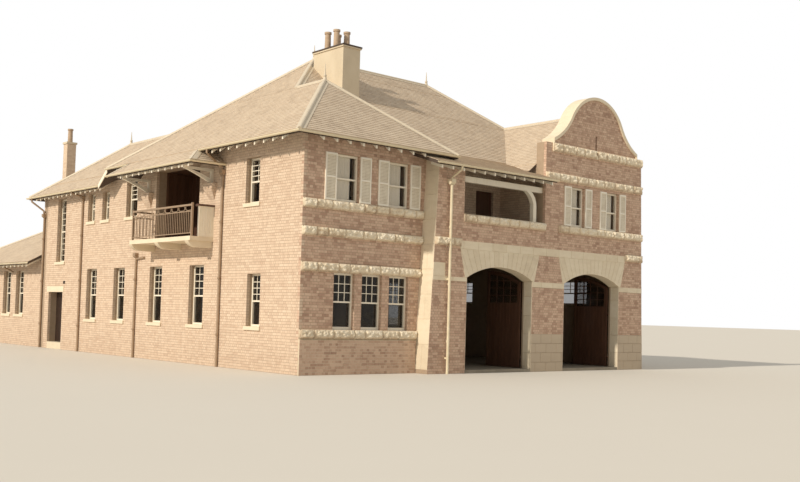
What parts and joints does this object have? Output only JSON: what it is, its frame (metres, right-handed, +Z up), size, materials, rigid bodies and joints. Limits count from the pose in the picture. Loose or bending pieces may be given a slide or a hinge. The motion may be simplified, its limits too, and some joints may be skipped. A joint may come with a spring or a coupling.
{
  "type": "fire station building",
  "caption": "Two-storey brick fire station with open engine arches, a bell-shaped gable, a corner balcony, hipped roofs and a low rear wing.",
  "frame": {"origin": "centre of the bounding box at ground level", "axes": "X along the engine front, Y back along the side street, Z up"},
  "size_m": [17.432, 30.682, 11.97],
  "materials": {
    "brick": "common brick with pale mortar joints",
    "dressed_stone": "dressed cream sandstone",
    "rock_faced_stone": "rock-faced cream sandstone",
    "roof_slate": "weathered roof slates",
    "lead_roll": "weathered light metal roll",
    "cream_timber": "painted cream timber",
    "dark_timber": "dark brown painted boards",
    "cream_iron": "cream painted cast iron",
    "render": "lime render",
    "clay": "fired clay",
    "concrete": "floated concrete",
    "floor_boards": "plain floor boards",
    "painted_iron": "brown painted cast iron",
    "wrought_iron": "black painted wrought iron",
    "window_pane": "clear window glass, dark inside"
  },
  "bodies": {
    "building": {"arch_stones": "dressed_stone", "balcony_brackets": "cream_timber", "balcony_end_panel": "cream_timber", "balcony_railing": "painted_iron", "balcony_slab": "dressed_stone", "bay_bands": "rock_faced_stone", "bay_brickwork": "brick", "bay_downpipe": "cream_iron", "bay_roof": "roof_slate", "bracket_heads": "brick", "chimney_pots": "clay", "chimneys": "render", "door_hooks": "wrought_iron", "door_stonework": "dressed_stone", "downpipes": "painted_iron", "engine_piers": "brick", "finials": "lead_roll", "front_bands": "rock_faced_stone", "front_wall": "brick", "front_windows": "cream_timber", "gable_coping": "dressed_stone", "gable_wall": "brick", "ground_floor": "concrete", "gutters": "cream_iron", "loggia_beam": "cream_timber", "loggia_walls": "brick", "low_roof": "roof_slate", "low_wing_walls": "brick", "main_roof": "roof_slate", "rafter_ends": "cream_timber", "rear_wall": "brick", "recess_walls": "render", "ridge_rolls": "lead_roll", "right_wall": "brick", "shutters": "cream_timber", "side_wall": "brick", "side_wall_end": "brick", "side_wall_over_door": "brick", "side_windows": "cream_timber", "upper_doors": "dark_timber", "upper_floor": "floor_boards", "window_glass": "window_pane", "window_sills": "dressed_stone", "wing_roof": "roof_slate", "wing_walls": "brick", "yard_windows": "cream_timber"},
    "left_arch_left_leaf": {"left_arch_left_leaf": "dark_timber", "left_arch_left_leaf_glass": "window_pane"},
    "left_arch_right_leaf": {"left_arch_right_leaf": "dark_timber", "left_arch_right_leaf_glass": "window_pane"},
    "right_arch_left_leaf": {"right_arch_left_leaf": "dark_timber", "right_arch_left_leaf_glass": "window_pane"},
    "right_arch_right_leaf": {"right_arch_right_leaf": "dark_timber", "right_arch_right_leaf_glass": "window_pane"},
    "side_door_near_leaf": {"side_door_near_leaf": "dark_timber"},
    "side_door_far_leaf": {"side_door_far_leaf": "dark_timber"}
  },
  "joints": [
    {"name": "left_arch_left_leaf_hinge", "type": "hinge", "parent": "building", "child": "left_arch_left_leaf", "pos_m": [-1.18, -14.215, 0.45], "axis": [0, 0, -1], "range_deg": [0, 90]},
    {"name": "left_arch_right_leaf_hinge", "type": "hinge", "parent": "building", "child": "left_arch_right_leaf", "pos_m": [2.02, -14.215, 0.45], "axis": [0, 0, 1], "range_deg": [0, 90]},
    {"name": "right_arch_left_leaf_hinge", "type": "hinge", "parent": "building", "child": "right_arch_left_leaf", "pos_m": [3.72, -14.215, 0.45], "axis": [0, 0, -1], "range_deg": [0, 90]},
    {"name": "right_arch_right_leaf_hinge", "type": "hinge", "parent": "building", "child": "right_arch_right_leaf", "pos_m": [6.92, -14.215, 0.45], "axis": [0, 0, 1], "range_deg": [0, 90]},
    {"name": "side_door_near_hinge", "type": "hinge", "parent": "building", "child": "side_door_near_leaf", "pos_m": [-6.94, 3.025, 0.45], "axis": [0, 0, -1], "range_deg": [0, 90]},
    {"name": "side_door_far_hinge", "type": "hinge", "parent": "building", "child": "side_door_far_leaf", "pos_m": [-6.94, 4.495, 0.45], "axis": [0, 0, 1], "range_deg": [0, 90]}
  ]
}
